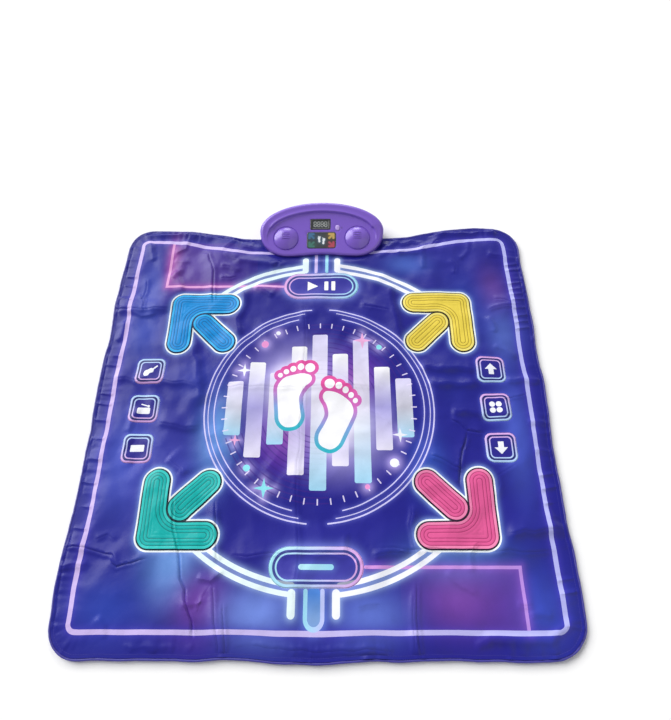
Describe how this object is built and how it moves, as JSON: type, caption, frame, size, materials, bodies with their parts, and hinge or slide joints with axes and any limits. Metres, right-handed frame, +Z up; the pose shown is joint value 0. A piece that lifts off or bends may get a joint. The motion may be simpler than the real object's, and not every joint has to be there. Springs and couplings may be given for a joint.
{
  "type": "electronic dance mat",
  "caption": "Padded square floor mat with raised press pads, a rounded bound edge and, over its rear edge, a wedge-shaped control unit with display, lamps and domed speakers.",
  "frame": {"origin": "on the floor, under the middle of the mat, on the underside of its base cloth", "axes": "+X to the player's right, +Y from the player towards the control unit at the rear edge, +Z up"},
  "size_m": [0.93, 0.981, 0.0545],
  "materials": {
    "dotted_cloth": "matte",
    "circuit_film": "satin",
    "foam": "matte",
    "printed_cover": "satin",
    "binding": "satin",
    "webbing": "matte",
    "arrow_blue": "satin",
    "arrow_yellow": "satin",
    "arrow_teal": "satin",
    "arrow_pink": "satin",
    "pad_print": "satin",
    "purple_abs": "satin",
    "base_abs": "satin",
    "bezel": "gloss",
    "display_glass": "gloss",
    "smoked_window": "gloss",
    "panel_print": "matte",
    "led_resin": "gloss",
    "switch_body": "matte",
    "board_laminate": "satin",
    "screw_steel": "satin",
    "speaker_metal": "satin",
    "cell_label": "satin",
    "contact_steel": "satin",
    "clamp_plastic": "matte",
    "foot_rubber": "matte"
  },
  "bodies": {
    "mat": {"base_cloth": "dotted_cloth", "lower_circuit_film": "circuit_film", "spacer_foam": "foam", "upper_circuit_film": "circuit_film", "padding_foam": "foam", "top_cover": "printed_cover", "edge_binding": "binding", "mat_tab": "webbing", "membrane_tail": "circuit_film", "base_shell": "base_abs", "face_shell": "purple_abs", "speaker_cover_left": "purple_abs", "speaker_cover_right": "purple_abs", "speaker_left": "speaker_metal", "speaker_right": "speaker_metal", "display_bezel": "bezel", "display_module": "display_glass", "panel_window": "smoked_window", "panel_film": "panel_print", "led_centre": "led_resin", "led_rear_left": "led_resin", "led_rear_right": "led_resin", "led_front_left": "led_resin", "led_front_right": "led_resin", "tact_switch": "switch_body", "main_board": "board_laminate", "board_screw_left": "screw_steel", "board_screw_right": "screw_steel", "battery_1": "cell_label", "battery_2": "cell_label", "battery_3": "cell_label", "battery_contact_left": "contact_steel", "battery_contact_right": "contact_steel", "clamp_bar": "clamp_plastic", "clamp_screw_left": "screw_steel", "clamp_screw_right": "screw_steel", "shell_screw_left": "screw_steel", "shell_screw_right": "screw_steel", "shell_screw_rear_left": "screw_steel", "shell_screw_rear_right": "screw_steel", "rubber_foot_left": "foot_rubber", "rubber_foot_right": "foot_rubber"},
    "power_button": {"power_button": "purple_abs"},
    "battery_door": {"battery_door": "base_abs", "battery_door_screw": "screw_steel"},
    "arrow_pad_rear_left": {"arrow_pad_rear_left": "arrow_blue"},
    "arrow_pad_rear_right": {"arrow_pad_rear_right": "arrow_yellow"},
    "arrow_pad_front_left": {"arrow_pad_front_left": "arrow_teal"},
    "arrow_pad_front_right": {"arrow_pad_front_right": "arrow_pink"},
    "start_pad": {"start_pad": "pad_print"},
    "dash_pad": {"dash_pad": "pad_print"},
    "icon_pad_left_rear": {"icon_pad_left_rear": "pad_print"},
    "icon_pad_left_middle": {"icon_pad_left_middle": "pad_print"},
    "icon_pad_left_front": {"icon_pad_left_front": "pad_print"},
    "icon_pad_right_rear": {"icon_pad_right_rear": "pad_print"},
    "icon_pad_right_middle": {"icon_pad_right_middle": "pad_print"},
    "icon_pad_right_front": {"icon_pad_right_front": "pad_print"}
  },
  "joints": [
    {"name": "arrow_pad_rear_left_press", "type": "slide", "parent": "mat", "child": "arrow_pad_rear_left", "axis": [0, 0, -1], "range_m": [0, 0.0025], "stiffness_N_per_m": 3000, "springref_m": -0.0003},
    {"name": "arrow_pad_rear_right_press", "type": "slide", "parent": "mat", "child": "arrow_pad_rear_right", "axis": [0, 0, -1], "range_m": [0, 0.0025], "stiffness_N_per_m": 3000, "springref_m": -0.0003},
    {"name": "arrow_pad_front_left_press", "type": "slide", "parent": "mat", "child": "arrow_pad_front_left", "axis": [0, 0, -1], "range_m": [0, 0.0025], "stiffness_N_per_m": 3000, "springref_m": -0.0003},
    {"name": "arrow_pad_front_right_press", "type": "slide", "parent": "mat", "child": "arrow_pad_front_right", "axis": [0, 0, -1], "range_m": [0, 0.0025], "stiffness_N_per_m": 3000, "springref_m": -0.0003},
    {"name": "start_pad_press", "type": "slide", "parent": "mat", "child": "start_pad", "axis": [0, 0, -1], "range_m": [0, 0.0025], "stiffness_N_per_m": 2500, "springref_m": -0.0003},
    {"name": "dash_pad_press", "type": "slide", "parent": "mat", "child": "dash_pad", "axis": [0, 0, -1], "range_m": [0, 0.0025], "stiffness_N_per_m": 2500, "springref_m": -0.0003},
    {"name": "icon_pad_left_rear_press", "type": "slide", "parent": "mat", "child": "icon_pad_left_rear", "axis": [0, 0, -1], "range_m": [0, 0.0025], "stiffness_N_per_m": 1500, "springref_m": -0.0003},
    {"name": "icon_pad_left_middle_press", "type": "slide", "parent": "mat", "child": "icon_pad_left_middle", "axis": [0, 0, -1], "range_m": [0, 0.0025], "stiffness_N_per_m": 1500, "springref_m": -0.0003},
    {"name": "icon_pad_left_front_press", "type": "slide", "parent": "mat", "child": "icon_pad_left_front", "axis": [0, 0, -1], "range_m": [0, 0.0025], "stiffness_N_per_m": 1500, "springref_m": -0.0003},
    {"name": "icon_pad_right_rear_press", "type": "slide", "parent": "mat", "child": "icon_pad_right_rear", "axis": [0, 0, -1], "range_m": [0, 0.0025], "stiffness_N_per_m": 1500, "springref_m": -0.0003},
    {"name": "icon_pad_right_middle_press", "type": "slide", "parent": "mat", "child": "icon_pad_right_middle", "axis": [0, 0, -1], "range_m": [0, 0.0025], "stiffness_N_per_m": 1500, "springref_m": -0.0003},
    {"name": "icon_pad_right_front_press", "type": "slide", "parent": "mat", "child": "icon_pad_right_front", "axis": [0, 0, -1], "range_m": [0, 0.0025], "stiffness_N_per_m": 1500, "springref_m": -0.0003},
    {"name": "power_button_press", "type": "slide", "parent": "mat", "child": "power_button", "axis": [0, 0.2672, -0.9636], "range_m": [0, 0.001], "stiffness_N_per_m": 600, "springref_m": -0.0004},
    {"name": "battery_door_lift", "type": "slide", "parent": "mat", "child": "battery_door", "axis": [0, 0, -1], "range_m": [0, 0.012]}
  ]
}
